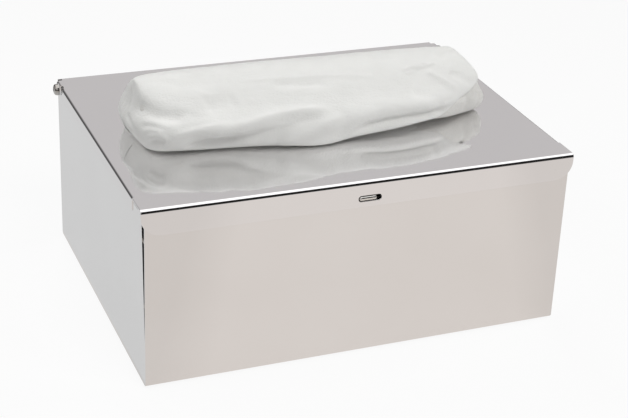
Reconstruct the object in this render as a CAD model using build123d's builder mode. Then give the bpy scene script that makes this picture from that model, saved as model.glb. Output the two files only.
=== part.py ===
from build123d import *
import os
from math import atan2, cos, degrees, hypot, radians, sin, tan

# A countertop tissue dispenser of polished sheet steel, in millimetres.
# +Z is up, the front faces -Y, and the origin is on the table under the middle of the box.

# Body
body_width = 300.0
body_depth = 230.0
lid_top = 130.0
sheet = 1.0
fold_radius = 2.0
foot_height = 1.5
wrap_drop = 2.2
lid_seat_gap = 0.2

# Open seam at the front-left corner
seam_gap_at_top = 6.0
seam_closed_height = 32.0

# Lid
side_gap = 1.6
front_gap = 0.3
front_flange_height = 18.5
front_flange_corner = 13.0
front_flange_edge_round = 0.35
front_fold_radius = 2.6
side_flange_height = 9.8
side_flange_corner = 2.5
side_flange_front_setback = 20.0
side_flange_rear_setback = 25.5
lid_rear_setback = 4.6
lid_rear_side_gap = 0.6
hem_length = 5.0

# Tissue slot in the lid
slot_length = 236.0
slot_width = 26.0
slot_centre_y = -4.5

# Hinge
hinge_setback = 12.7
hinge_drop = 5.0
lug_radius = 4.4
ear_neck_share = 0.4
lid_open_angle = 105.0
lid_stop_gap = 0.1
screw_radius = 2.0
screw_fit = 0.05
screw_head_radius = 4.2
screw_head_height = 3.3
screw_head_round = 2.2
screw_head_bevels = 3
screw_head_play = 0.1
screw_tip = 1.5
screw_tip_bevel = 0.4
recess_width = 0.9
recess_length = 3.8
recess_depth = 1.3
spacer_wall = 0.8
spacer_play = 0.1
boss_wall = 1.5
boss_length = 3.5
panel_hole_clearance = 0.15

# Catch
catch_x = 1.5
catch_drop = 12.3
catch_slot_length = 16.3
catch_slot_height = 4.0
nose_length = 12.6
nose_height = 3.0
nose_shift = -1.4
nose_proud = 0.7
nose_round = 1.35
leaf_width = 13.0
leaf_thickness = 0.5
leaf_corner = 3.25
leaf_gap = 0.3
leaf_below_nose = 34.0
leaf_above_nose = 7.0
catch_press_angle = 5.5
window_clearance = 1.5
pocket_height = 9.0
pocket_sheet = 0.8
pocket_clearance = 0.3
pocket_tab = 5.0

# Feet
foot_diameter = 10.0
foot_inset = 16.0
foot_bevel = 0.4

# Welds
bead_leg = 2.5
bead_length = 12.0
tack_width = 0.8
tack_height = 3.2
lower_tack = 26.0
upper_tack = 72.0
lower_bead = 20.0
upper_bead = 70.0

# Tissues
stack_end_clearance = 11.0
stack_side_clearance = 14.0
stack_height = 55.0
stack_crown = 3.0
stack_corner = 4.0
bunch_left = -131.0
bunch_right = 126.0
bunch_front_reach = 52.0
bunch_rear_reach = 48.0
bunch_height = 40.0
bunch_bulge_height = 14.0
bunch_shoulder_height = 30.0
bunch_front_shoulder = 32.0
bunch_rear_shoulder = 33.0
bunch_front_foot_at_ends = 35.0
bunch_front_foot_at_middle = 48.5
bunch_rear_foot = 34.0
bunch_right_lift = 3.4
bunch_float = 0.3
bunch_end_round = 22.0
bunch_end_share = 0.6
bunch_end_sections = 4
bunch_arc_facets = 8
tail_thickness = 6.0
tail_end_clearance = 20.0
tail_float = 0.5

# Places worked out from the sizes above
half_width = body_width / 2
half_depth = body_depth / 2
inside_half_width = half_width - sheet
inside_half_depth = half_depth - sheet
floor_top = foot_height + sheet
lid_under = lid_top - sheet
cut_depth = 2 * sheet
wrap_top = lid_top - wrap_drop
panel_top = lid_under - lid_seat_gap
inner_fold = fold_radius - sheet

lid_half_width = half_width + side_gap + sheet
flange_face_y = -(half_depth + front_gap + sheet)
lid_rear_y = half_depth - lid_rear_setback
side_flange_front_y = flange_face_y + side_flange_front_setback
side_flange_rear_y = half_depth - side_flange_rear_setback
lid_rear_half_width = inside_half_width - lid_rear_side_gap

hinge_y = half_depth - hinge_setback
hinge_z = lid_top - hinge_drop
ear_radius = panel_top - hinge_z
lug_reach = hypot(lug_radius, hinge_drop)
lug_rise = degrees(atan2(hinge_drop, lug_radius))
notch_z = hinge_z - lug_reach * sin(radians(lid_open_angle - lug_rise)) - lid_stop_gap
ear_neck_y = hinge_y + ear_radius * ear_neck_share

nose_x = catch_x + nose_shift
catch_z = lid_top - catch_drop
leaf_front_y = -inside_half_depth + leaf_gap
leaf_bottom = catch_z - leaf_below_nose
leaf_top = catch_z + leaf_above_nose

stack_length = 2 * (inside_half_width - stack_end_clearance)
stack_depth = 2 * (inside_half_depth - stack_side_clearance)
stack_top = floor_top + stack_height
tail_length = slot_length - 2 * tail_end_clearance


def folded_strip(outer_points, inner_points, outer_radius=fold_radius):
    """A folded sheet's section: an outer and an inner line, closed at both ends."""
    outer = FilletPolyline(*outer_points, radius=outer_radius)
    inner = FilletPolyline(*inner_points, radius=outer_radius - sheet)
    Line(outer @ 0, inner @ 0)
    Line(outer @ 1, inner @ 1)


# Front, floor and back, folded from one strip
with BuildPart() as body_wrap:
    with BuildSketch(Plane.YZ):
        with BuildLine():
            folded_strip(
                (
                    (-half_depth, wrap_top),
                    (-half_depth, foot_height),
                    (half_depth, foot_height),
                    (half_depth, wrap_top),
                ),
                (
                    (-inside_half_depth, wrap_top),
                    (-inside_half_depth, floor_top),
                    (inside_half_depth, floor_top),
                    (inside_half_depth, wrap_top),
                ),
            )
        make_face()
    extrude(amount=half_width, both=True)
    # Window that the nose of the catch comes out through
    with BuildSketch(Plane.XZ.offset(half_depth)):
        with Locations((catch_x, catch_z)):
            RectangleRounded(
                catch_slot_length + 2 * window_clearance,
                catch_slot_height + 2 * window_clearance,
                window_clearance,
            )
    extrude(amount=-cut_depth, mode=Mode.SUBTRACT)
body_wrap.part.label = "body_wrap"


def side_panel(side, seam_gap):
    """One side panel. The lid's lug swings down into the notch behind the hinge."""
    with BuildPart() as panel:
        with BuildSketch(Plane.YZ.offset(side * inside_half_width)):
            with BuildLine():
                Polyline(
                    (-inside_half_depth, floor_top),
                    (inside_half_depth, floor_top),
                    (inside_half_depth, notch_z),
                    (ear_neck_y, notch_z),
                    (ear_neck_y, hinge_z),
                    (hinge_y, hinge_z),
                    (hinge_y, panel_top),
                    (-inside_half_depth + seam_gap, panel_top),
                    (-inside_half_depth, floor_top + seam_closed_height),
                    close=True,
                )
            make_face()
            with Locations((hinge_y, hinge_z)):
                Circle(ear_radius)
                Circle(screw_radius + panel_hole_clearance, mode=Mode.SUBTRACT)
        extrude(amount=side * sheet)
        lower_corners = panel.edges().filter_by(Axis.X).group_by(Axis.Z)[0]
        fillet(lower_corners, radius=inner_fold + lid_seat_gap)
    return panel.part


left_side_panel = side_panel(-1, seam_gap_at_top)
left_side_panel.label = "left_side_panel"
right_side_panel = side_panel(1, 0.0)
right_side_panel.label = "right_side_panel"


def corner_bead(side, end, level):
    """Section of a weld bead in an inner corner of the box, on a level above the floor."""
    with BuildSketch(Plane.XY.offset(floor_top + level)) as section:
        with BuildLine():
            Polyline(
                (side * inside_half_width, end * inside_half_depth),
                (side * (inside_half_width - bead_leg), end * inside_half_depth),
                (side * inside_half_width, end * (inside_half_depth - bead_leg)),
                close=True,
            )
        make_face()
    return section.sketch


# Left seam: tacks across the open gap, beads in the closed corners
seam_edge = Plane(
    origin=(0, -inside_half_depth, floor_top + seam_closed_height),
    z_dir=(0, floor_top + seam_closed_height - panel_top, seam_gap_at_top),
)
with BuildPart() as left_seam_welds:
    with BuildSketch(Plane.XZ.offset(inside_half_depth)):
        for level in (lower_tack, upper_tack):
            with Locations((sheet / 2 - half_width, floor_top + seam_closed_height + level)):
                Ellipse(tack_width / 2, tack_height / 2)
    extrude(amount=-seam_gap_at_top)
    split(bisect_by=seam_edge, keep=Keep.TOP)
    extrude(corner_bead(-1, -1, lower_bead), amount=bead_length)
    for level in (lower_bead, upper_bead):
        extrude(corner_bead(-1, 1, level), amount=bead_length)
left_seam_welds.part.label = "left_seam_welds"

with BuildPart() as right_seam_welds:
    for end in (-1, 1):
        for level in (lower_bead, upper_bead):
            extrude(corner_bead(1, end, level), amount=bead_length)
right_seam_welds.part.label = "right_seam_welds"


def lid_channel(from_y, lower_z):
    """The lid's section across the box: the plate with both sides folded down."""
    with BuildSketch(Plane.XZ.offset(-from_y)) as section:
        with BuildLine():
            folded_strip(
                (
                    (-lid_half_width, lower_z),
                    (-lid_half_width, lid_top),
                    (lid_half_width, lid_top),
                    (lid_half_width, lower_z),
                ),
                (
                    (sheet - lid_half_width, lower_z),
                    (sheet - lid_half_width, lid_under),
                    (lid_half_width - sheet, lid_under),
                    (lid_half_width - sheet, lower_z),
                ),
            )
        make_face()
    return section.sketch


with BuildPart() as lid:
    # Plate with the side flanges
    extrude(
        lid_channel(side_flange_front_y, lid_top - side_flange_height),
        amount=side_flange_front_y - side_flange_rear_y,
    )
    fillet(lid.edges().filter_by(Axis.X).group_by(Axis.Z)[0], radius=side_flange_corner)
    # Front of the plate, cut to the full width, with the front flange
    with BuildSketch(Plane.YZ):
        with BuildLine():
            folded_strip(
                (
                    (side_flange_front_y, lid_top),
                    (flange_face_y, lid_top),
                    (flange_face_y, lid_top - front_flange_height),
                ),
                (
                    (side_flange_front_y, lid_under),
                    (flange_face_y + sheet, lid_under),
                    (flange_face_y + sheet, lid_top - front_flange_height),
                ),
                front_fold_radius,
            )
        make_face()
    extrude(amount=lid_half_width, both=True)
    fillet(lid.edges().filter_by(Axis.Y).group_by(Axis.Z)[0], radius=front_flange_corner)
    # Narrower rear of the plate, which swings down between the side panels, and its hem
    with BuildSketch(Plane.XY.offset(lid_under)):
        with Locations((0, side_flange_rear_y)):
            Rectangle(
                2 * lid_rear_half_width,
                lid_rear_y - sheet - side_flange_rear_y,
                align=(Align.CENTER, Align.MIN),
            )
            Rectangle(
                2 * (lid_half_width - fold_radius),
                hinge_y - side_flange_rear_y,
                align=(Align.CENTER, Align.MIN),
            )
    extrude(amount=sheet)
    with BuildSketch(Plane.YZ):
        with BuildLine():
            hem_end = CenterArc((lid_rear_y - sheet, lid_under), sheet, -90, 180)
            Polyline(
                hem_end @ 1,
                (lid_rear_y - hem_length, lid_top),
                (lid_rear_y - hem_length, lid_under - sheet),
                hem_end @ 0,
            )
        make_face()
    extrude(amount=lid_rear_half_width, both=True)
    # Lugs that turn on the screws
    extrude(lid_channel(hinge_y - lug_radius, hinge_z), amount=-2 * lug_radius)
    for face_x in (-lid_half_width, lid_half_width - sheet):
        with BuildSketch(Plane.YZ.offset(face_x)):
            with Locations((hinge_y, hinge_z)):
                Circle(lug_radius)
        extrude(amount=sheet)
    with BuildSketch(Plane.YZ):
        with Locations((hinge_y, hinge_z)):
            Circle(screw_radius + screw_fit)
    extrude(amount=body_width, both=True, mode=Mode.SUBTRACT)
    # Slots for the tissue and for the nose of the catch
    with BuildSketch(Plane.XY.offset(lid_top)):
        with Locations((0, slot_centre_y)):
            SlotOverall(slot_length, slot_width)
    extrude(amount=-cut_depth, mode=Mode.SUBTRACT)
    with BuildSketch(Plane.XZ.offset(-flange_face_y)):
        with Locations((catch_x, catch_z)):
            SlotOverall(catch_slot_length, catch_slot_height)
    extrude(amount=-cut_depth, mode=Mode.SUBTRACT)
    # Rounded rim of the front flange and of its slot
    flange_face = lid.faces().sort_by(Axis.Y)[0]
    fillet(flange_face.edges().sort_by(Axis.Z)[:-1], radius=front_flange_edge_round)
lid.part.label = "lid"


def hinge_screw(side):
    """Pan-head screw along X, its crown turned in bevels, head outside the lid's lug."""
    head_x = lid_half_width + screw_head_play
    top_x = head_x + screw_head_height
    tip_x = inside_half_width - boss_length - screw_tip
    crown = []
    for bevel in range(screw_head_bevels + 1):
        turn = radians(90 * bevel / screw_head_bevels)
        along = top_x - screw_head_round * (1 - sin(turn))
        crown.append((side * along, screw_head_radius - screw_head_round * (1 - cos(turn))))
    with BuildPart() as screw:
        with BuildSketch(Plane((0, hinge_y, hinge_z))):
            with BuildLine():
                Polyline(
                    (side * tip_x, 0),
                    (side * tip_x, screw_radius - screw_tip_bevel),
                    (side * (tip_x + screw_tip_bevel), screw_radius),
                    (side * head_x, screw_radius),
                    (side * head_x, screw_head_radius),
                    *crown,
                    (side * top_x, 0),
                    close=True,
                )
            make_face()
        revolve(axis=Axis((0, hinge_y, hinge_z), (1, 0, 0)))
        with BuildSketch(Plane.YZ.offset(side * top_x)):
            with Locations((hinge_y, hinge_z)):
                Rectangle(recess_length, recess_width)
                Rectangle(recess_width, recess_length)
        extrude(amount=-side * recess_depth, mode=Mode.SUBTRACT)
    return screw.part


def hinge_ring(from_x, length, outer_radius, clearance):
    """A plain ring round the hinge axis, from a place along X."""
    with BuildPart() as ring:
        with BuildSketch(Plane.YZ.offset(from_x)):
            with Locations((hinge_y, hinge_z)):
                Circle(outer_radius)
                Circle(screw_radius + clearance, mode=Mode.SUBTRACT)
        extrude(amount=length)
    return ring.part


hinge_pieces = []
for side, side_name in ((-1, "left"), (1, "right")):
    screw = hinge_screw(side)
    screw.label = "hinge_screw_" + side_name
    spacer = hinge_ring(
        side * half_width,
        side * (side_gap - spacer_play),
        screw_radius + spacer_wall,
        screw_fit,
    )
    spacer.label = "hinge_spacer_" + side_name
    boss = hinge_ring(
        side * inside_half_width,
        -side * boss_length,
        screw_radius + boss_wall,
        screw_fit,
    )
    boss.label = "hinge_boss_" + side_name
    hinge_pieces += [screw, spacer, boss]

# Leaf spring with a rounded nose that stands out through the slot of the lid
nose_tip_y = flange_face_y - nose_proud
with BuildPart() as catch_spring:
    with BuildSketch(Plane.XZ.offset(-leaf_front_y)):
        with Locations((nose_x, (leaf_bottom + leaf_top) / 2)):
            Rectangle(leaf_width, leaf_top - leaf_bottom)
    extrude(amount=-leaf_thickness)
    upper_corners = catch_spring.edges().filter_by(Axis.Y).group_by(Axis.Z)[-1]
    fillet(upper_corners, radius=leaf_corner)
    with BuildSketch(Plane.XZ.offset(-leaf_front_y)):
        with Locations((nose_x, catch_z)):
            SlotOverall(nose_length, nose_height)
    extrude(amount=leaf_front_y - nose_tip_y)
    nose_face = catch_spring.faces().sort_by(Axis.Y)[0]
    fillet(nose_face.edges(), radius=nose_round)
catch_spring.part.label = "catch_spring"

# Pocket inside the front panel, in which the spring's root stands
pocket_width = leaf_width + 2 * pocket_clearance
pocket_depth = leaf_gap + leaf_thickness + pocket_height * tan(radians(catch_press_angle)) + pocket_clearance
pocket_bottom = leaf_bottom - pocket_clearance - pocket_sheet
with BuildPart() as catch_pocket:
    with BuildSketch(Plane.XY.offset(pocket_bottom)):
        with Locations((nose_x, -inside_half_depth)):
            Rectangle(
                pocket_width + 2 * pocket_sheet,
                pocket_depth + pocket_sheet,
                align=(Align.CENTER, Align.MIN),
            )
            Rectangle(
                pocket_width + 2 * pocket_tab,
                pocket_sheet,
                align=(Align.CENTER, Align.MIN),
            )
    extrude(amount=pocket_height)
    with BuildSketch(Plane.XY.offset(pocket_bottom + pocket_sheet)):
        with Locations((nose_x, -inside_half_depth)):
            Rectangle(pocket_width, pocket_depth, align=(Align.CENTER, Align.MIN))
    extrude(amount=pocket_height, mode=Mode.SUBTRACT)
catch_pocket.part.label = "catch_pocket"


def foot(x, y):
    """A stick-on rubber foot with its lower rim bevelled."""
    with BuildPart() as pad:
        with BuildSketch(Plane.XY):
            with Locations((x, y)):
                Circle(foot_diameter / 2)
        extrude(amount=foot_height)
        chamfer(pad.edges().group_by(Axis.Z)[0], length=foot_bevel)
    return pad.part


feet = []
for end, end_name in ((-1, "front"), (1, "rear")):
    for side, side_name in ((-1, "left"), (1, "right")):
        pad = foot(side * (half_width - foot_inset), end * (half_depth - foot_inset))
        pad.label = "foot_" + end_name + "_" + side_name
        feet.append(pad)

# Folded tissues waiting in the box
with BuildPart() as tissue_stack:
    with BuildSketch(Plane.XY.offset(floor_top)):
        RectangleRounded(stack_length, stack_depth, stack_corner)
    extrude(amount=stack_height)
    fillet(tissue_stack.faces().sort_by(Axis.Z)[-1].edges(), radius=stack_crown)
tissue_stack.part.label = "tissue_stack"


def bunch_section(x, share, front_foot, lift):
    """One section of the puffed tissue: a flat foot lifted at its front, bulging sides and a crown."""
    foot_z = lid_top + bunch_float
    bulge_z = foot_z + share * bunch_bulge_height
    shoulder_z = foot_z + share * bunch_shoulder_height
    front = ThreePointArc(
        (slot_centre_y - share * front_foot, foot_z + share * lift),
        (slot_centre_y - share * bunch_front_reach, bulge_z),
        (slot_centre_y - share * bunch_front_shoulder, shoulder_z),
    )
    rear = ThreePointArc(
        (slot_centre_y + share * bunch_rear_shoulder, shoulder_z),
        (slot_centre_y + share * bunch_rear_reach, bulge_z),
        (slot_centre_y + share * bunch_rear_foot, foot_z),
    )
    crown = ThreePointArc(front @ 1, (slot_centre_y, foot_z + share * bunch_height), rear @ 0)
    outline = [
        arc @ (number / bunch_arc_facets)
        for arc in (front, crown, rear)
        for number in range(bunch_arc_facets)
    ]
    with BuildSketch(Plane.YZ.offset(x)) as section:
        with BuildLine():
            Polyline(*outline, rear @ 1, close=True)
        make_face()
    return section.sketch


def bunch_end(end_x, inward, lift):
    """Sections of a rounded end, from its tip to the full section."""
    sections = []
    for number in range(bunch_end_sections + 1):
        turn = radians(90 * number / bunch_end_sections)
        x = end_x + inward * bunch_end_round * (1 - cos(turn))
        share = bunch_end_share + (1 - bunch_end_share) * sin(turn)
        sections.append(bunch_section(x, share, bunch_front_foot_at_ends, lift))
    return sections


# The next tissue, puffed up on the lid, with its tail down through the slot to the stack
with BuildPart() as top_tissue:
    middle_x = (bunch_left + bunch_right) / 2
    loft(
        [
            *bunch_end(bunch_left, 1, 0),
            bunch_section(middle_x, 1, bunch_front_foot_at_middle, 0),
            *reversed(bunch_end(bunch_right, -1, bunch_right_lift)),
        ],
        ruled=True,
    )
    with BuildSketch(Plane.XY.offset(stack_top + tail_float)):
        with Locations((0, slot_centre_y)):
            Rectangle(tail_length, tail_thickness)
    extrude(amount=lid_top + bunch_float + bunch_right_lift - stack_top - tail_float)
top_tissue.part.label = "top_tissue"

pieces = [
    body_wrap.part,
    left_side_panel,
    right_side_panel,
    left_seam_welds.part,
    right_seam_welds.part,
    lid.part,
    *hinge_pieces,
    catch_spring.part,
    catch_pocket.part,
    *feet,
    tissue_stack.part,
    top_tissue.part,
]
os.makedirs("parts", exist_ok=True)
for piece in pieces:
    export_step(piece, "parts/" + piece.label + ".step")

print("hinge axis y, z:", round(hinge_y, 3), round(hinge_z, 3))
print("catch axis y, z:", round(leaf_front_y + leaf_thickness / 2, 3), round(leaf_bottom, 3))
print("catch nose tip y:", round(nose_tip_y, 3), "notch floor z:", round(notch_z, 3))
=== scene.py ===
import math
import random

import bmesh
import bpy
import numpy as np
from mathutils import Euler, Matrix, Vector, noise as fractal


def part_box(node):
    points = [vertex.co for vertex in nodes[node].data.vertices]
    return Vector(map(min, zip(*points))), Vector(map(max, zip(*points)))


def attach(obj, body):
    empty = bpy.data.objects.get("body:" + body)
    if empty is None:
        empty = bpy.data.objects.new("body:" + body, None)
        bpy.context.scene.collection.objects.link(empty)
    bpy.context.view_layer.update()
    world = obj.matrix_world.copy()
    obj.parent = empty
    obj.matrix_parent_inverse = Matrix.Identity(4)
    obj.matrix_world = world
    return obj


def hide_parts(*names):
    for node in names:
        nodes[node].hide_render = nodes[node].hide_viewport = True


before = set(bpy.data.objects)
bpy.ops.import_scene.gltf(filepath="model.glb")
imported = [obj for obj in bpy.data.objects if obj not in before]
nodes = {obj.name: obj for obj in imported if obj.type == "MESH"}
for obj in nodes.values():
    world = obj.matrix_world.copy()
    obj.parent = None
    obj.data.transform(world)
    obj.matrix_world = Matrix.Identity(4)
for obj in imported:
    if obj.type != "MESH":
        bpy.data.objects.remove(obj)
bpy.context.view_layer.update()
scene = bpy.context.scene
metre = 0.001
lidLow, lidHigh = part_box("lid")
stackLow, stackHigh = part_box("tissue_stack")
print("frame loaded:", len(nodes), "nodes")

# Camera, from the lines of the box in the photograph
cameraValues = {
    "place": Vector((-0.38909, -0.96768, 0.56984)),
    "heading": 24.111,
    "pitch": 25.863,
    "roll": 3.235,
    "focalPixels": 1595.35,
    "centreX": 356.84,
    "centreY": 199.84,
    "imageWidth": 628,
    "imageHeight": 418,
    "sensorWidth": 36,
    "farthest": 50,
}


def makeCamera(v):
    camera = bpy.data.objects.new("camera", bpy.data.cameras.new("camera"))
    scene.collection.objects.link(camera)
    level = Euler((math.radians(90 - v["pitch"]), 0, math.radians(-v["heading"]))).to_matrix()
    turned = level @ Matrix.Rotation(math.radians(v["roll"]), 3, "Z")
    camera.matrix_world = Matrix.Translation(v["place"]) @ turned.to_4x4()
    camera.data.sensor_width = v["sensorWidth"]
    camera.data.lens = v["focalPixels"] * v["sensorWidth"] / v["imageWidth"]
    camera.data.shift_x = (v["imageWidth"] / 2 - v["centreX"]) / v["imageWidth"]
    camera.data.shift_y = (v["centreY"] - v["imageHeight"] / 2) / v["imageWidth"]
    camera.data.clip_end = v["farthest"]
    scene.camera = camera


makeCamera(cameraValues)
print("camera set")


# Node helpers shared by all the materials
def newMaterial(name):
    material = bpy.data.materials.new(name)
    material.use_nodes = True
    tree = material.node_tree
    return material, tree, tree.nodes["Principled BSDF"]


def addNode(tree, kind, inputs, **settings):
    node = tree.nodes.new(kind)
    for key, value in settings.items():
        setattr(node, key, value)
    for key, value in inputs.items():
        if isinstance(value, bpy.types.NodeSocket):
            tree.links.new(value, node.inputs[key])
        else:
            node.inputs[key].default_value = value
    return node


def objectPlace(tree, scale=(1, 1, 1)):
    place = addNode(tree, "ShaderNodeTexCoord", {}).outputs["Object"]
    return addNode(tree, "ShaderNodeMapping", {"Vector": place, "Scale": scale}).outputs[0]


def patches(tree, place, size, detail=3.0):
    inputs = {"Vector": place, "Scale": 1 / size, "Detail": detail}
    return addNode(tree, "ShaderNodeTexNoise", inputs).outputs[0]


def spread(tree, value, low, high, start=0.3, end=0.7):
    inputs = {0: value, 1: start, 2: end, 3: low, 4: high}
    return addNode(tree, "ShaderNodeMapRange", inputs).outputs[0]


def calculate(tree, operation, first, second):
    return addNode(tree, "ShaderNodeMath", {0: first, 1: second}, operation=operation).outputs[0]


def blendColours(tree, share, first, second):
    inputs = {0: share, 6: (*first, 1), 7: (*second, 1)}
    return addNode(tree, "ShaderNodeMix", inputs, data_type="RGBA").outputs[2]


def bumped(tree, height, distance):
    return addNode(tree, "ShaderNodeBump", {"Height": height, "Distance": distance}).outputs[0]


def dress(name, material):
    nodes[name].data.materials.clear()
    nodes[name].data.materials.append(material)


# Polished sheet: mirror steel with a faint waviness, a cloudy tint and polishing grain
steelValues = {
    "cloudSize": 0.09,
    "waveSize": 0.11,
    "waveHeight": 0.00005,
    "grainSize": 0.0006,
    "smoothest": 0.03,
    "roughest": 0.07,
    # Painted highlight: how much brighter the colour of the lid's flat top is made
    "topPaintedHighlight": 0.13,
    "topEdge": (0.002, 0.0005),  # depths below the lid's top between which the painted highlight sets in
    "millRoughness": 0.42,
    "bendReach": 0.004,
    "skinDepth": 0.0004,
}
sheetValues = {
    "polishedLid": {"tint": (0.820, 0.814, 0.816), "cloud": (0.830, 0.826, 0.828), "grain": (0.05, 1, 1)},
    "polishedBody": {"tint": (0.820, 0.812, 0.806), "cloud": (0.800, 0.789, 0.780), "grain": (0.05, 1, 1)},
    "polishedSide": {"tint": (0.815, 0.815, 0.815), "cloud": (0.840, 0.840, 0.842), "grain": (1, 0.05, 1)},
}


# Painted highlight: the flat top of the lid gets a brighter colour than its turned-down edges
def paintedTopHighlight(tree, place, colour, v):
    height = addNode(tree, "ShaderNodeSeparateXYZ", {0: place}).outputs["Z"]
    low, high = v["topEdge"]
    top = spread(tree, height, 0.0, 1.0, lidHigh.z - low, lidHigh.z - high)
    inputs = {0: colour, "Scale": spread(tree, top, 1.0, 1.0 + v["topPaintedHighlight"], 0.0, 1.0)}
    return addNode(tree, "ShaderNodeVectorMath", inputs, operation="SCALE").outputs[0]


# The underside of the lid keeps its dull mill finish
def dullUnderside(tree, place, roughness, v):
    parts = addNode(tree, "ShaderNodeSeparateXYZ", {0: place}).outputs
    share = calculate(tree, "LESS_THAN", parts["Z"], lidHigh.z - v["skinDepth"])
    for part, low, high in ((parts["X"], lidLow.x, lidHigh.x), (parts["Y"], lidLow.y, lidHigh.y)):
        afterLow = calculate(tree, "GREATER_THAN", part, low + v["bendReach"])
        beforeHigh = calculate(tree, "LESS_THAN", part, high - v["bendReach"])
        share = calculate(tree, "MULTIPLY", share, afterLow)
        share = calculate(tree, "MULTIPLY", share, beforeHigh)
    return spread(tree, share, roughness, v["millRoughness"], 0.0, 1.0)


def polishedSteel(name, sheet, v):
    material, tree, shader = newMaterial(name)
    place = objectPlace(tree)
    cloudy = spread(tree, patches(tree, place, v["cloudSize"]), 0.0, 1.0)
    colour = blendColours(tree, cloudy, sheet["tint"], sheet["cloud"])
    grain = patches(tree, objectPlace(tree, sheet["grain"]), v["grainSize"], detail=2.0)
    roughness = spread(tree, grain, v["smoothest"], v["roughest"])
    if name == "polishedLid":
        # Painted highlight on the lid's flat top
        colour = paintedTopHighlight(tree, place, colour, v)
        roughness = dullUnderside(tree, place, roughness, v)
    tree.links.new(colour, shader.inputs["Base Color"])
    tree.links.new(roughness, shader.inputs["Roughness"])
    wave = patches(tree, place, v["waveSize"], detail=1.0)
    tree.links.new(bumped(tree, wave, v["waveHeight"]), shader.inputs["Normal"])
    shader.inputs["Metallic"].default_value = 1.0
    return material


# Small parts: rolled brackets, weld beads, screws, the spring and the rubber feet
smallValues = {
    "bracketSteel": {"tint": (0.45, 0.45, 0.45), "stain": (0.36, 0.35, 0.34), "stainSize": 0.006,
                     "roughness": (0.28, 0.42), "bumpHeight": 0.00001},
    "weldMetal": {"tint": (0.42, 0.38, 0.33), "stain": (0.16, 0.13, 0.11), "stainSize": 0.0016,
                  "roughness": (0.3, 0.55), "bumpHeight": 0.0003},
    "screwSteel": {"tint": (0.56, 0.55, 0.53), "stain": (0.40, 0.37, 0.34), "stainSize": 0.003,
                   "roughness": (0.1, 0.2), "bumpHeight": 0.00002},
    "springSteel": {"tint": (0.80, 0.79, 0.76), "stain": (0.72, 0.71, 0.68), "stainSize": 0.01,
                    "roughness": (0.22, 0.30), "bumpHeight": 0.00001},
}
rubberValues = {
    "tint": (0.035, 0.035, 0.036),
    "dust": (0.075, 0.072, 0.068),
    "dustSize": 0.002,
    "roughness": 0.75,
}


def smallSteel(name, v):
    material, tree, shader = newMaterial(name)
    stains = patches(tree, objectPlace(tree), v["stainSize"], detail=4.0)
    colour = blendColours(tree, spread(tree, stains, 0.0, 1.0), v["tint"], v["stain"])
    tree.links.new(colour, shader.inputs["Base Color"])
    tree.links.new(spread(tree, stains, *v["roughness"]), shader.inputs["Roughness"])
    tree.links.new(bumped(tree, stains, v["bumpHeight"]), shader.inputs["Normal"])
    shader.inputs["Metallic"].default_value = 1.0
    return material


def rubber(v):
    material, tree, shader = newMaterial("footRubber")
    dusty = spread(tree, patches(tree, objectPlace(tree), v["dustSize"]), 0.0, 1.0)
    tree.links.new(blendColours(tree, dusty, v["tint"], v["dust"]), shader.inputs["Base Color"])
    shader.inputs["Roughness"].default_value = v["roughness"]
    return material


lidSteel, bodySteel, sideSteel = [
    polishedSteel(name, sheet, steelValues) for name, sheet in sheetValues.items()
]
bracketSteel, weldSteel, screwSteel, springSteel = [
    smallSteel(name, values) for name, values in smallValues.items()
]
footRubber = rubber(rubberValues)

dressing = {
    "lid": lidSteel,
    "body_wrap": bodySteel,
    "left_side_panel": sideSteel,
    "right_side_panel": sideSteel,
    "left_seam_welds": weldSteel,
    "right_seam_welds": weldSteel,
    "catch_spring": springSteel,
    "catch_pocket": bracketSteel,
}
for side in ("left", "right"):
    dressing["hinge_screw_" + side] = screwSteel
    dressing["hinge_spacer_" + side] = bracketSteel
    dressing["hinge_boss_" + side] = bracketSteel
    dressing["foot_front_" + side] = footRubber
    dressing["foot_rear_" + side] = footRubber
for name, material in dressing.items():
    dress(name, material)
print("steel and rubber dressed")


# Tissue: soft white wet-laid paper with fine fibres; the inner leaf gets darker tints as painted shade
tissueValues = {
    "outerTints": ((0.885, 0.884, 0.860), (0.850, 0.849, 0.825)),
    # Darker tints for the inner leaf: painted shade where the outer leaf's rim shadows it
    "innerShadedTints": ((0.80, 0.79, 0.76), (0.76, 0.75, 0.72)),
    "patchSize": 0.02,
    "fibreSize": 0.0009,
    "fibreHeight": 0.00035,
    "fibreScale": (0.6, 1, 1),
    "crimpSize": 0.0045,
    "crimpHeight": 0.0005,
    "crimpScale": (0.4, 1, 1),
    "roughness": 0.85,
    "sheen": 0.35,
}


def tissuePaper(name, tints, v):
    material, tree, shader = newMaterial(name)
    patchy = spread(tree, patches(tree, objectPlace(tree), v["patchSize"], detail=5.0), 0.0, 1.0)
    tree.links.new(blendColours(tree, patchy, *tints), shader.inputs["Base Color"])
    fibres = patches(tree, objectPlace(tree, v["fibreScale"]), v["fibreSize"], detail=4.0)
    crimps = patches(tree, objectPlace(tree, v["crimpScale"]), v["crimpSize"], detail=2.0)
    inputs = {"Height": crimps, "Distance": v["crimpHeight"], "Normal": bumped(tree, fibres, v["fibreHeight"])}
    tree.links.new(addNode(tree, "ShaderNodeBump", inputs).outputs[0], shader.inputs["Normal"])
    shader.inputs["Roughness"].default_value = v["roughness"]
    shader.inputs["Sheen Weight"].default_value = v["sheen"]
    return material


outerPaper = tissuePaper("tissuePaper", tissueValues["outerTints"], tissueValues)
# Inner leaf paper, darker as painted shade
innerShadedPaper = tissuePaper("innerTissuePaintedShade", tissueValues["innerShadedTints"], tissueValues)

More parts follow.
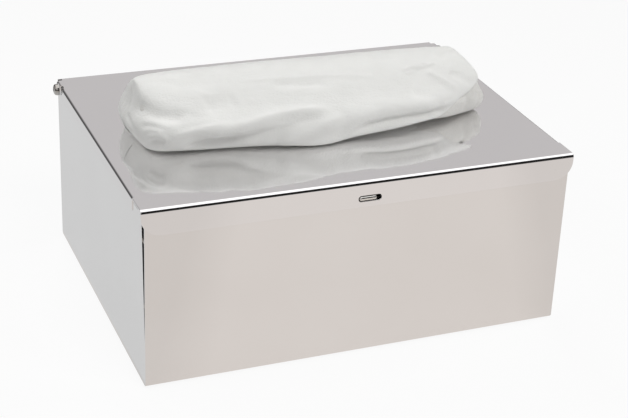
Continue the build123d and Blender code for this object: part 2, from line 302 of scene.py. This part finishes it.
# Top tissue: two leaves puffed up over the slot, with their tails between its lips.
# Stations along the box, in mm: x, foot of the front, its lift, widest front, height, widest rear,
# and the share of the height at which the front is widest
outerStations = (
    (-135.5, -7.5, 0.5, -7.0, 37.2, -11.0, 0.36),
    (-134.0, -19.0, 0.8, -20.0, 38.2, 3.0, 0.36),
    (-128.0, -32.0, 1.4, -38.5, 39.6, 21.5, 0.40),
    (-114.0, -39.5, 1.6, -50.5, 40.6, 38.0, 0.46),
    (-85.0, -43.5, 1.4, -55.0, 41.2, 42.5, 0.50),
    (-60.0, -47.0, 1.5, -57.5, 41.3, 43.0, 0.50),
    (-40.0, -51.8, 2.2, -58.0, 41.3, 43.5, 0.46),
    (-8.0, -58.4, 2.0, -59.0, 41.0, 44.0, 0.42),
    (12.0, -54.4, 2.4, -58.0, 40.8, 44.0, 0.42),
    (42.0, -52.2, 3.8, -57.0, 40.2, 44.0, 0.46),
    (80.0, -46.0, 4.6, -54.0, 39.8, 43.5, 0.46),
    (100.0, -43.0, 4.8, -49.5, 39.6, 42.5, 0.40),
    (112.0, -40.0, 4.2, -46.0, 39.4, 41.0, 0.36),
    (123.5, -38.0, 4.0, -41.5, 39.0, 38.0, 0.36),
)
innerStations = (
    (-133.0, -9.0, 1.0, -9.0, 34.6, -8.8, 0.36),
    (-131.4, -17.0, 1.2, -19.0, 35.6, 3.0, 0.36),
    (-126.0, -28.5, 1.6, -34.5, 37.0, 21.5, 0.36),
    (-113.0, -37.0, 3.4, -43.5, 38.2, 36.5, 0.36),
    (-85.0, -38.5, 4.2, -44.5, 38.6, 41.0, 0.36),
    (-40.0, -42.5, 4.0, -46.0, 38.8, 42.0, 0.36),
    (0.0, -46.0, 2.5, -48.0, 39.0, 42.5, 0.36),
    (60.0, -43.5, 4.6, -45.5, 38.4, 42.0, 0.36),
    (92.0, -41.5, 3.6, -44.0, 37.5, 41.0, 0.36),
    (106.0, -35.0, 1.8, -41.0, 36.0, 38.0, 0.42),
    (118.0, -30.0, 1.3, -37.0, 32.0, 24.0, 0.42),
    (124.5, -27.5, 1.2, -31.5, 27.5, -4.0, 0.40),
    (126.3, -26.5, 1.2, -28.5, 25.0, -22.0, 0.36),
)

# Both leaves, in mm, as the stations are
leafValues = {
    "tailShare": 0.74,
    "tailMiddle": -4.5,
    "tailBottom": -71.0,
    "kneeShare": 0.4,
    "slotWider": 0.04,
    "slotSpread": 0.3,
    "slotDepth": -2.0,
    "rimWider": 0.12,
    "lidClear": 0.45,
    "thickness": 0.22,
    "grid": 1.2,
    "hiddenRows": (0, 1, 2, 3, 11, 12, 13, 14, 15, 16, 17, 18),  # tails and rear, which get a third of the grid
    "hiddenShare": 3,
    "rimStart": 40.0,
    "rimLength": 83.5,
    "endStart": 113.0,
    "endLength": 22.0,
    "endMiddle": 0.48,
}


# How far the ends of a leaf draw back, most at their top and bottom
def drawnBack(x, above, height, shape, v):
    low, high = shape["leftEnd"] if x < 0 else shape["rightEnd"]
    nearEnd = min(max((abs(x) - v["endStart"]) / v["endLength"], 0), 1) ** 2
    share = above / height
    if share < v["endMiddle"]:
        back = low * ((v["endMiddle"] - share) / v["endMiddle"]) ** 2
    else:
        back = high * math.sqrt((share - v["endMiddle"]) / (1 - v["endMiddle"]))
    return -math.copysign(back * nearEnd, x)


def leafSection(station, shape, v):
    x, foot, lift, front, height, rear, belly = station
    middle, bottom, clear, narrow = v["tailMiddle"], v["tailBottom"], v["lidClear"], v["tailShare"]
    lip, knee = shape["lip"], v["kneeShare"] * bottom
    inSlot, overRim = x * (narrow + v["slotWider"]), x * (narrow + v["rimWider"])
    rimCut = min(max((x - v["rimStart"]) / v["rimLength"], 0), 1) ** 2 * shape["rightRim"]
    # From the front tail over the front, crest and rear to the rear tail: x, y, z and share of the rim's cut
    profile = (
        (x * narrow, middle - lip, bottom, 0),
        (x * narrow, middle - lip, knee, 0),
        (inSlot, middle - lip - v["slotSpread"], v["slotDepth"], 0),
        (overRim, 0.3 * foot + 0.7 * middle - lip, clear + 0.3 * lift, 0.5),
        (x * 0.97, 0.8 * foot + 0.2 * middle, clear + 0.8 * lift, 1.0),
        (x, foot, clear + lift + 0.2, 1.0),
        (x, 0.35 * foot + 0.65 * front, 0.6 * lift + 0.4 * belly * height, 0.92),
        (x, front, belly * height, 0.74),
        (x, 0.72 * front, 0.70 * height, 0.12),
        (x, 0.36 * front, 0.93 * height, 0.24),
        (x, 0.0, height, 0.32),
        (x, 0.42 * rear, 0.86 * height, 0.34),
        (x, 0.80 * rear, 0.655 * height, 0.26),
        (x, rear, 0.36 * height, 0.10),
        (x, 0.88 * rear, 0.09 * height, 0),
        (x * 0.98, 0.62 * rear, clear + 0.2 * lift, 0),
        (overRim, 0.3 * rear + 0.6 * middle + lip, clear, 0),
        (inSlot, middle + lip + v["slotSpread"], v["slotDepth"], 0),
        (x * narrow, middle + lip, knee, 0),
        (x * narrow, middle + lip, bottom, 0),
    )
    places = []
    for along, across, above, cut in profile:
        back = drawnBack(x, above, height, shape, v) if above > 0 else 0.0
        places.append(np.array((along - cut * rimCut + back, across, above)))
    return places


# Smooth curve through the points, with a count of steps between each two of them
def curveThrough(points, counts):
    spans = [max(np.linalg.norm(after - before), 0.01) for before, after in zip(points, points[1:])]
    steps = [(after - before) / span for before, after, span in zip(points, points[1:], spans)]
    slopes = [steps[0]]
    for i in range(1, len(steps)):
        weight = spans[i - 1] / (spans[i - 1] + spans[i])
        slopes.append(steps[i - 1] * (1 - weight) + steps[i] * weight)
    slopes.append(steps[-1])
    curve = []
    for i, count in enumerate(counts):
        for number in range(count):
            t = number / count
            leaving = spans[i] * (t ** 3 - 2 * t ** 2 + t)
            arriving = spans[i] * (t ** 3 - t ** 2)
            start = points[i] * (2 * t ** 3 - 3 * t ** 2 + 1) + slopes[i] * leaving
            finish = points[i + 1] * (3 * t ** 2 - 2 * t ** 3) + slopes[i + 1] * arriving
            curve.append(start + finish)
    curve.append(points[-1])
    return curve


def countsFor(points, step):
    spans = [float(np.linalg.norm(after - before)) for before, after in zip(points, points[1:])]
    return [max(2, round(span / step)) for span in spans]


# Folds seen in the photograph, in mm like the stations: points along each fold, its height
# (below zero for a valley) and its width
outerFolds = (
    (((3, -51.5, 24), (-10, -51.5, 25), (-24, -51, 25.5), (-36, -52, 25), (-46, -53.5, 24),
      (-58, -55.5, 22.5), (-70, -56, 20.5), (-85, -54.5, 19), (-101, -52, 16.5)), 3.1, 6.5),
    (((-5, -55.5, 20.5), (-18, -55, 19.5), (-34, -55.5, 18), (-46, -55.5, 15.5), (-60, -54.5, 12),
      (-76, -51.5, 9.5), (-94, -49, 9), (-108, -49.5, 9.5)), -4.0, 9),
    (((-60, -53, 8), (-78, -50, 7.5), (-95, -48, 7.5), (-108, -47, 8)), -2.0, 7),
    (((-42, -56, 4.5), (-30, -58.5, 9.5), (-17, -59.5, 13.5), (-4, -59.5, 18), (7, -56, 21.5)), 2.8, 9),
    (((94, -44, 12), (78, -50, 12.8), (57, -54.5, 13), (37, -56, 12), (22, -57, 9.5), (10, -58, 6.8)),
     -4.6, 7.5),
    (((28, -52, 20), (56, -52, 20), (88, -48, 19)), 1.4, 9),
    (((98, -43.5, 8), (74, -49, 8.5), (53, -53, 8.5), (37, -54.5, 7.5), (20, -56, 5), (7, -57, 3.5)),
     1.6, 3.6),
    (((-127, -38, 11), (-125, -41.5, 15), (-121.5, -45, 17), (-117.5, -48, 17), (-114, -50.5, 14.5)),
     1.4, 3.4),
    (((-127, -41, 10), (-122.5, -46.5, 12.5), (-117, -50, 12.5)), -1.6, 4.4),
    (((-118, -50.5, 9), (-114.5, -51, 14), (-109, -53, 18), (-99, -54, 21), (-86, -54, 22.5),
      (-72, -54, 23.5)), 1.6, 4.5),
    (((-114, -53, 9.5), (-105, -55, 13.5), (-94, -54, 14.5), (-82, -54, 14.5)), -2.0, 6),
    (((-129, -32, 21.4), (-124, -37, 24.3), (-120, -41, 23.7), (-115, -45, 22.1), (-107, -48, 22.2)),
     0.8, 4),
    (((-130, -33, 19), (-124.5, -38.5, 21.6), (-117, -44, 21)), -0.5, 3.4),
    (((-129, -36, 16.5), (-125, -40.5, 19.5), (-121, -45, 19.8), (-116, -48, 18.2)), 0.8, 3),
    (((-133, -10, 20.7), (-133, -19.4, 18), (-131.9, -27.5, 15.5), (-129.3, -35, 13)), -1.0, 4),
    (((-112, -47, 22), (-98, -48, 22.4), (-80, -47, 24)), 1.2, 2.6),
    (((-92, -47, 24), (-71, -51.5, 21.2), (-50, -55, 17.5)), 1.5, 3),
    (((-131, -14, 28.5), (-124, -26, 28), (-118.5, -34, 26.5), (-111, -39, 25.5), (-99, -43, 25.5)),
     -3.0, 10),
    (((-96, -47, 17), (-84, -51, 17), (-66, -53, 17)), -1.4, 8),
    (((-84, -22, 36), (-92, -34, 31), (-98, -42, 26)), 1.2, 14),
    (((-88, -38, 29), (-62, -34, 32)), -1.2, 13),
    (((-64, -19, 38), (-18, -22, 37), (10, -24, 36.6), (46, -28.5, 34.6)), 1.0, 4),
    (((30, -22, 37), (40, -25, 36)), -0.8, 2.4),
    (((-38, -27, 35.5), (6, -31, 34)), -1.1, 6),
    (((60, -25, 35.6), (78, -22, 36.4)), 1.2, 2.2),
    (((64, -22.4, 36.3), (86, -19, 37)), 1.3, 2.2),
    (((70, -24.6, 35.4), (91, -20, 36.8)), 1.2, 2.2),
    (((62, -28, 34.5), (72, -26.5, 35)), 0.9, 1.8),
    (((78, -26, 35), (88, -34, 30), (98, -42, 23.5)), 1.4, 5),
    (((60, -43, 26), (84, -52, 17)), -1.5, 8),
    (((94, -15, 38), (110, -2, 39)), -1.5, 7),
    (((-120, -4, 40), (-96, -18, 39), (-68, -22, 38)), -0.7, 9),
    (((96, -29, 34), (116, -39, 27)), -1.7, 7),
)
innerFolds = (
    (((112, -38, 26), (113, -37, 14), (112, -35, 4)), 0.9, 2.6),
    (((116.5, -37, 26), (117, -35.5, 14), (116, -34, 4)), -0.9, 3),
    (((120.5, -34, 26), (121.5, -33, 12), (120, -32, 4)), 0.8, 2.6),
    (((105, -40, 24), (108, -39.5, 12), (105, -38, 4)), -1.2, 5),
)
wrinkleValues = {
    "broadSize": (46.0, 20.0),  # along the box and across it
    "broadHeight": 0.45,
    "fineSize": (13.0, 6.0),
    "fineHeight": 0.14,
    "endFade": 0.22,
    "sharpness": 3.5,
    "topWeight": 0.5,  # folds show where the leaf faces up or to the front
    "frontWeight": 0.9,
    "facingStart": -0.35,
    "facingSpan": 0.5,
    "crownAbove": 30.0,
    "lidLevel": 0.2,
    "wrinkleLevel": 1.0,
}


def foldHeights(places, fold, v):
    line, height, width = fold
    line = np.array(line, float)
    lengths = np.linalg.norm(np.diff(line, axis=0), axis=1)
    nearest = np.full(len(places), 1e6)
    share = np.zeros(len(places))
    walked = 0.0
    for start, finish, length in zip(line, line[1:], lengths):
        direction = (finish - start) / length
        along = np.clip((places - start) @ direction, 0, length)
        distance = np.linalg.norm(places - start - along[:, None] * direction, axis=1)
        closer = distance < nearest
        nearest[closer] = distance[closer]
        share[closer] = (walked + along[closer]) / lengths.sum()
        walked += length
    fade = np.clip(np.minimum(share, 1 - share) / v["endFade"], 0, 1)
    fade = fade * fade * (3 - 2 * fade)
    return height * fade * np.exp(-v["sharpness"] * (nearest / width) ** 2)


def ripple(x, y, z, size):
    along, across = size
    return fractal.noise(Vector((x / along, y / across, z / across)))


def sculptFolds(leaf, folds, v):
    count = len(leaf.data.vertices)
    places = np.empty(count * 3)
    normals = np.empty(count * 3)
    leaf.data.vertices.foreach_get("co", places)
    leaf.data.vertex_normals.foreach_get("vector", normals)
    normals = normals.reshape(-1, 3)
    places = places.reshape(-1, 3) / metre - (0, 0, lidHigh.z / metre)
    if normals[:, 2][places[:, 2] > v["crownAbove"]].mean() < 0:
        normals = -normals
    facing = normals[:, 2] * v["topWeight"] - normals[:, 1] * v["frontWeight"]
    shown = np.clip((facing - v["facingStart"]) / v["facingSpan"], 0, 1)
    heights = sum(foldHeights(places, fold, v) for fold in folds) * shown
    for i, (x, y, z) in enumerate(places):
        if z > v["wrinkleLevel"]:
            broad, fine = ripple(x, y, z, v["broadSize"]), ripple(x, y, z, v["fineSize"])
            heights[i] += v["broadHeight"] * broad + v["fineHeight"] * fine
        elif z < v["lidLevel"]:
            heights[i] = 0
    moved = places + heights[:, None] * normals
    onLid = places[:, 2] > v["lidLevel"]
    moved[onLid, 2] = np.maximum(moved[onLid, 2], leafValues["lidClear"])
    moved = (moved + (0, 0, lidHigh.z / metre)) * metre
    leaf.data.vertices.foreach_set("co", moved.ravel())
    leaf.data.update()


def leafMesh(name, shape, v):
    corners = [np.array(station) for station in shape["stations"]]
    columns = curveThrough(corners, countsFor(corners, v["grid"]))
    rowCounts = countsFor(leafSection(corners[len(corners) // 2], shape, v), v["grid"])
    for hidden in v["hiddenRows"]:
        rowCounts[hidden] = max(2, rowCounts[hidden] // v["hiddenShare"])
    sections = [curveThrough(leafSection(column, shape, v), rowCounts) for column in columns]
    lidTop = Vector((0, 0, lidHigh.z))
    mesh = bpy.data.meshes.new(name)
    built = bmesh.new()
    grid = []
    for section in sections:
        grid.append([built.verts.new(Vector(place) * metre + lidTop) for place in section])
    for left, right in zip(grid, grid[1:]):
        for row in range(len(left) - 1):
            built.faces.new((left[row], right[row], right[row + 1], left[row + 1]))
    built.to_mesh(mesh)
    built.free()
    leaf = bpy.data.objects.new(name, mesh)
    scene.collection.objects.link(leaf)
    return leaf


def applyModifier(piece, kind, **settings):
    modifier = piece.modifiers.new(kind.lower(), kind)
    for key, value in settings.items():
        setattr(modifier, key, value)
    bpy.context.view_layer.objects.active = piece
    bpy.ops.object.modifier_apply(modifier=modifier.name)


def smoothShade(piece):
    for polygon in piece.data.polygons:
        polygon.use_smooth = True


def finishLeaf(leaf, paper, v):
    applyModifier(leaf, "SOLIDIFY", thickness=v["thickness"] * metre, offset=0)
    smoothShade(leaf)
    leaf.data.materials.append(paper)
    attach(leaf, "tissue")
    print(leaf.name, "made:", len(leaf.data.polygons), "faces")


# What differs between the leaves, in mm: how far each end draws back below and above its middle,
# and how far the rim at the right is cut back
leafShapes = {
    "outer_leaf": {"stations": outerStations, "folds": outerFolds, "lip": 1.3, "paper": outerPaper,
                   "leftEnd": (11.5, 10.0), "rightEnd": (0.0, 0.0), "rightRim": 36.0},
    # The inner leaf's paper carries painted shade
    "inner_leaf": {"stations": innerStations, "folds": innerFolds, "lip": 0.5, "paper": innerShadedPaper,
                   "leftEnd": (11.5, 10.5), "rightEnd": (14.0, 7.0), "rightRim": 0.0},
}
leaves = {}
for name, shape in leafShapes.items():
    leaves[name] = leafMesh(name, shape, leafValues)
    sculptFolds(leaves[name], shape["folds"], wrinkleValues)
    finishLeaf(leaves[name], shape["paper"], leafValues)
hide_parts("top_tissue")


# Stack of folded tissues in the box
stackValues = {
    "layers": 18,
    "shift": 0.0016,
    "edgeRound": 0.45,
    "edgeSteps": 3,
    "seed": 7,
}


def makeStack(v):
    size = stackHigh - stackLow
    middle = (stackLow + stackHigh) / 2
    thick = size.z / v["layers"]
    chance = random.Random(v["seed"])
    layers = []
    for number in range(v["layers"]):
        bpy.ops.object.select_all(action="DESELECT")
        place = (
            middle.x + chance.uniform(-v["shift"], v["shift"]),
            middle.y + chance.uniform(-v["shift"], v["shift"]),
            stackLow.z + thick * (number + 0.5),
        )
        bpy.ops.mesh.primitive_cube_add(size=1, location=place)
        layer = bpy.context.object
        layer.scale = (size.x - 3 * v["shift"], size.y - 3 * v["shift"], thick)  # shifted layers stay inside
        bpy.ops.object.transform_apply(location=True, rotation=True, scale=True)
        applyModifier(layer, "BEVEL", width=thick * v["edgeRound"], segments=v["edgeSteps"])
        smoothShade(layer)
        layers.append(layer)
    bpy.ops.object.select_all(action="DESELECT")
    for layer in layers:
        layer.select_set(True)
    bpy.context.view_layer.objects.active = layers[0]
    bpy.ops.object.join()
    stack = bpy.context.object
    stack.name = "tissue_stack_sheets"
    stack.data.materials.append(outerPaper)
    return stack


tissueStack = makeStack(stackValues)
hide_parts("tissue_stack")
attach(tissueStack, "base")
print("tissue stack made")


# Studio floor: white to the eye, pale near the box and dark further out where the steel mirrors it
floorValues = {
    "size": 8.0,
    "paint": 0.85,
    "showShare": 0.9,
    "frontGlow": (0.820, 0.765, 0.728),
    "sideGlow": (0.688, 0.688, 0.688),
    "sideEdge": (-0.152, -0.149),
    "frontEdge": (-0.123, -0.117),
    "leftShade": (-0.145, -0.105),
    "rightShade": (0.125, 0.160),
    "shadeSkew": 0.446,
    "shadeShift": 0.0526,
    "shadeLevel": 0.91,
    "paleEdge": (0.62, 0.713),
    "rearEdge": (-0.1, 0.1),
    "rearDark": 0.87,
    "darkLevel": 0.03,
}


def makeFloor(v):
    bpy.ops.object.select_all(action="DESELECT")
    bpy.ops.mesh.primitive_plane_add(size=v["size"], location=(0, 0, 0))
    floor = bpy.context.object
    floor.name = "floor"
    material = bpy.data.materials.new("floorPaint")
    material.use_nodes = True
    tree = material.node_tree
    tree.nodes.clear()
    rays = addNode(tree, "ShaderNodeLightPath", {}).outputs
    paint = addNode(tree, "ShaderNodeBsdfDiffuse", {"Color": (v["paint"], v["paint"], v["paint"], 1)})
    place = addNode(tree, "ShaderNodeTexCoord", {}).outputs["Object"]
    parts = addNode(tree, "ShaderNodeSeparateXYZ", {0: place}).outputs
    distance = addNode(tree, "ShaderNodeVectorMath", {0: place}, operation="LENGTH").outputs["Value"]
    mirrored = calculate(tree, "GREATER_THAN", rays["Is Glossy Ray"], 0.5)
    far = spread(tree, distance, 0.0, 1.0, *v["paleEdge"])
    far = calculate(tree, "MULTIPLY", far, spread(tree, parts["Y"], 1.0, v["rearDark"], *v["rearEdge"]))
    level = spread(tree, calculate(tree, "MULTIPLY", far, mirrored), 1.0, v["darkLevel"], 0.0, 1.0)
    # The floor left of the box, which its side panel mirrors, has a tint of its own
    sideways = spread(tree, parts["X"], 1.0, 0.0, *v["sideEdge"])
    sideways = calculate(tree, "MULTIPLY", sideways, spread(tree, parts["Y"], 0.0, 1.0, *v["frontEdge"]))
    tinted = blendColours(tree, sideways, v["frontGlow"], v["sideGlow"])
    # Darker strips that the front mirrors near both of its ends
    skewed = calculate(tree, "MULTIPLY_ADD", parts["Y"], v["shadeSkew"])
    skewed.node.inputs[2].default_value = v["shadeShift"]
    along = calculate(tree, "ADD", parts["X"], skewed)
    shade = spread(tree, along, v["shadeLevel"], 1.0, *v["leftShade"])
    shade = calculate(tree, "MULTIPLY", shade, spread(tree, along, 1.0, v["shadeLevel"], *v["rightShade"]))
    shade = calculate(tree, "MAXIMUM", shade, sideways)
    level = calculate(tree, "MULTIPLY", level, spread(tree, mirrored, 1.0, shade, 0.0, 1.0))
    colours = {0: mirrored, 6: (1, 1, 1, 1), 7: tinted}
    white = addNode(tree, "ShaderNodeMix", colours, data_type="RGBA").outputs[2]
    glow = addNode(tree, "ShaderNodeEmission", {"Color": white, "Strength": level})
    shown = calculate(tree, "MAXIMUM", rays["Is Camera Ray"], rays["Is Glossy Ray"])
    shown = calculate(tree, "MAXIMUM", shown, rays["Is Transmission Ray"])
    share = calculate(tree, "MULTIPLY", shown, v["showShare"])
    mixed = addNode(tree, "ShaderNodeMixShader", {0: share, 1: paint.outputs[0], 2: glow.outputs[0]})
    addNode(tree, "ShaderNodeOutputMaterial", {"Surface": mixed.outputs[0]})
    floor.data.materials.append(material)


# World: bright overhead, with a dark horizon and two black cards that only the mirrors show
worldValues = {
    "lowSky": (0.550, 0.532, 0.534),
    "highSky": (1.25, 1.25, 1.25),
    "skyEdge": (0.62, 0.80),
    "horizonEdge": (0.10, 0.17),
    "rearEdge": (-0.1, 0.1),
    "rearDark": 0.87,
    "frontHeading": (0.37, -0.93, 0.0),
    "frontEdge": (0.61, 0.66),
    "uprights": ((0.998, 0.07, 0.0), (-0.616, -0.788, 0.0)),
    "uprightEdge": (-0.02, 0.06),
    "leftHeading": (-0.55, 0.835, 0.0),
    "leftEdge": (0.76, 0.95),
    "leftDark": 0.85,
    "darkLevel": 0.03,
    "diffuseLevel": 0.02,
    "lidBounce": 1.3,
}


def towards(tree, direction, heading, start, end):
    inputs = {0: direction, 1: heading}
    node = addNode(tree, "ShaderNodeVectorMath", inputs, operation="DOT_PRODUCT")
    return spread(tree, node.outputs["Value"], 0.0, 1.0, start, end)


def makeWorld(v):
    world = bpy.data.worlds.new("studio")
    scene.world = world
    world.use_nodes = True
    tree = world.node_tree
    tree.nodes.clear()
    rays = addNode(tree, "ShaderNodeLightPath", {}).outputs
    direction = addNode(tree, "ShaderNodeTexCoord", {}).outputs["Generated"]
    parts = addNode(tree, "ShaderNodeSeparateXYZ", {0: direction}).outputs
    height = parts["Z"]
    sky = blendColours(tree, spread(tree, height, 0.0, 1.0, *v["skyEdge"]), v["lowSky"], v["highSky"])
    rear = spread(tree, parts["Y"], 1.0, v["rearDark"], *v["rearEdge"])
    horizon = calculate(tree, "MULTIPLY", spread(tree, height, 1.0, 0.0, *v["horizonEdge"]), rear)
    # The black card in front of the box, between two upright edges
    frontCard = towards(tree, direction, v["frontHeading"], *v["frontEdge"])
    for upright in v["uprights"]:
        side = towards(tree, direction, upright, *v["uprightEdge"])
        frontCard = calculate(tree, "MULTIPLY", frontCard, side)
    leftCard = towards(tree, direction, v["leftHeading"], *v["leftEdge"])
    leftCard = calculate(tree, "MULTIPLY", leftCard, v["leftDark"])
    dark = calculate(tree, "MAXIMUM", calculate(tree, "MAXIMUM", frontCard, leftCard), horizon)
    level = spread(tree, dark, 1.0, v["darkLevel"], 0.0, 1.0)
    firstGloss = calculate(tree, "LESS_THAN", rays["Diffuse Depth"], 0.5)
    mirrored = calculate(tree, "MULTIPLY", rays["Is Glossy Ray"], firstGloss)
    # Light that the lid throws up onto the tissue
    plain = spread(tree, rays["Is Glossy Ray"], v["diffuseLevel"], v["lidBounce"], 0.0, 1.0)
    plain = spread(tree, rays["Is Camera Ray"], plain, 1.0, 0.0, 1.0)
    flat = addNode(tree, "ShaderNodeBackground", {"Color": (1, 1, 1, 1), "Strength": plain})
    seen = addNode(tree, "ShaderNodeBackground", {"Color": sky, "Strength": level})
    mixed = addNode(tree, "ShaderNodeMixShader", {0: mirrored, 1: flat.outputs[0], 2: seen.outputs[0]})
    addNode(tree, "ShaderNodeOutputWorld", {"Surface": mixed.outputs[0]})


def makeLamp(name, place, size, watts):
    lamp = bpy.data.objects.new(name, bpy.data.lights.new(name, "AREA"))
    scene.collection.objects.link(lamp)
    lamp.data.shape = "SQUARE"
    lamp.data.size = size
    lamp.data.energy = watts
    lamp.location = place
    aim = Vector((0, 0, lidHigh.z)) - Vector(place)
    lamp.rotation_euler = aim.to_track_quat("-Z", "Y").to_euler()
    lamp.visible_camera = False
    lamp.visible_glossy = False


# Soft lamps: place and watts
lampSize = 0.45
lampValues = {
    "frontLamp": ((0.08, -0.97, 1.36), 7.4),
    "frontRightLamp": ((0.75, -0.99, 1.06), 4.8),
    "rightLamp": ((1.2, -0.01, 1.1), 4.8),
    "rearLamp": ((0.0, 1.04, 1.25), 5.3),
    "leftLamp": ((-1.16, -0.01, 1.16), 3.4),
    "nearLamp": ((-0.45, 0.24, 0.80), 1.7),
}
makeFloor(floorValues)
makeWorld(worldValues)
for name, (place, watts) in lampValues.items():
    makeLamp(name, place, lampSize, watts)
scene.view_settings.view_transform = "Standard"
print("studio set")
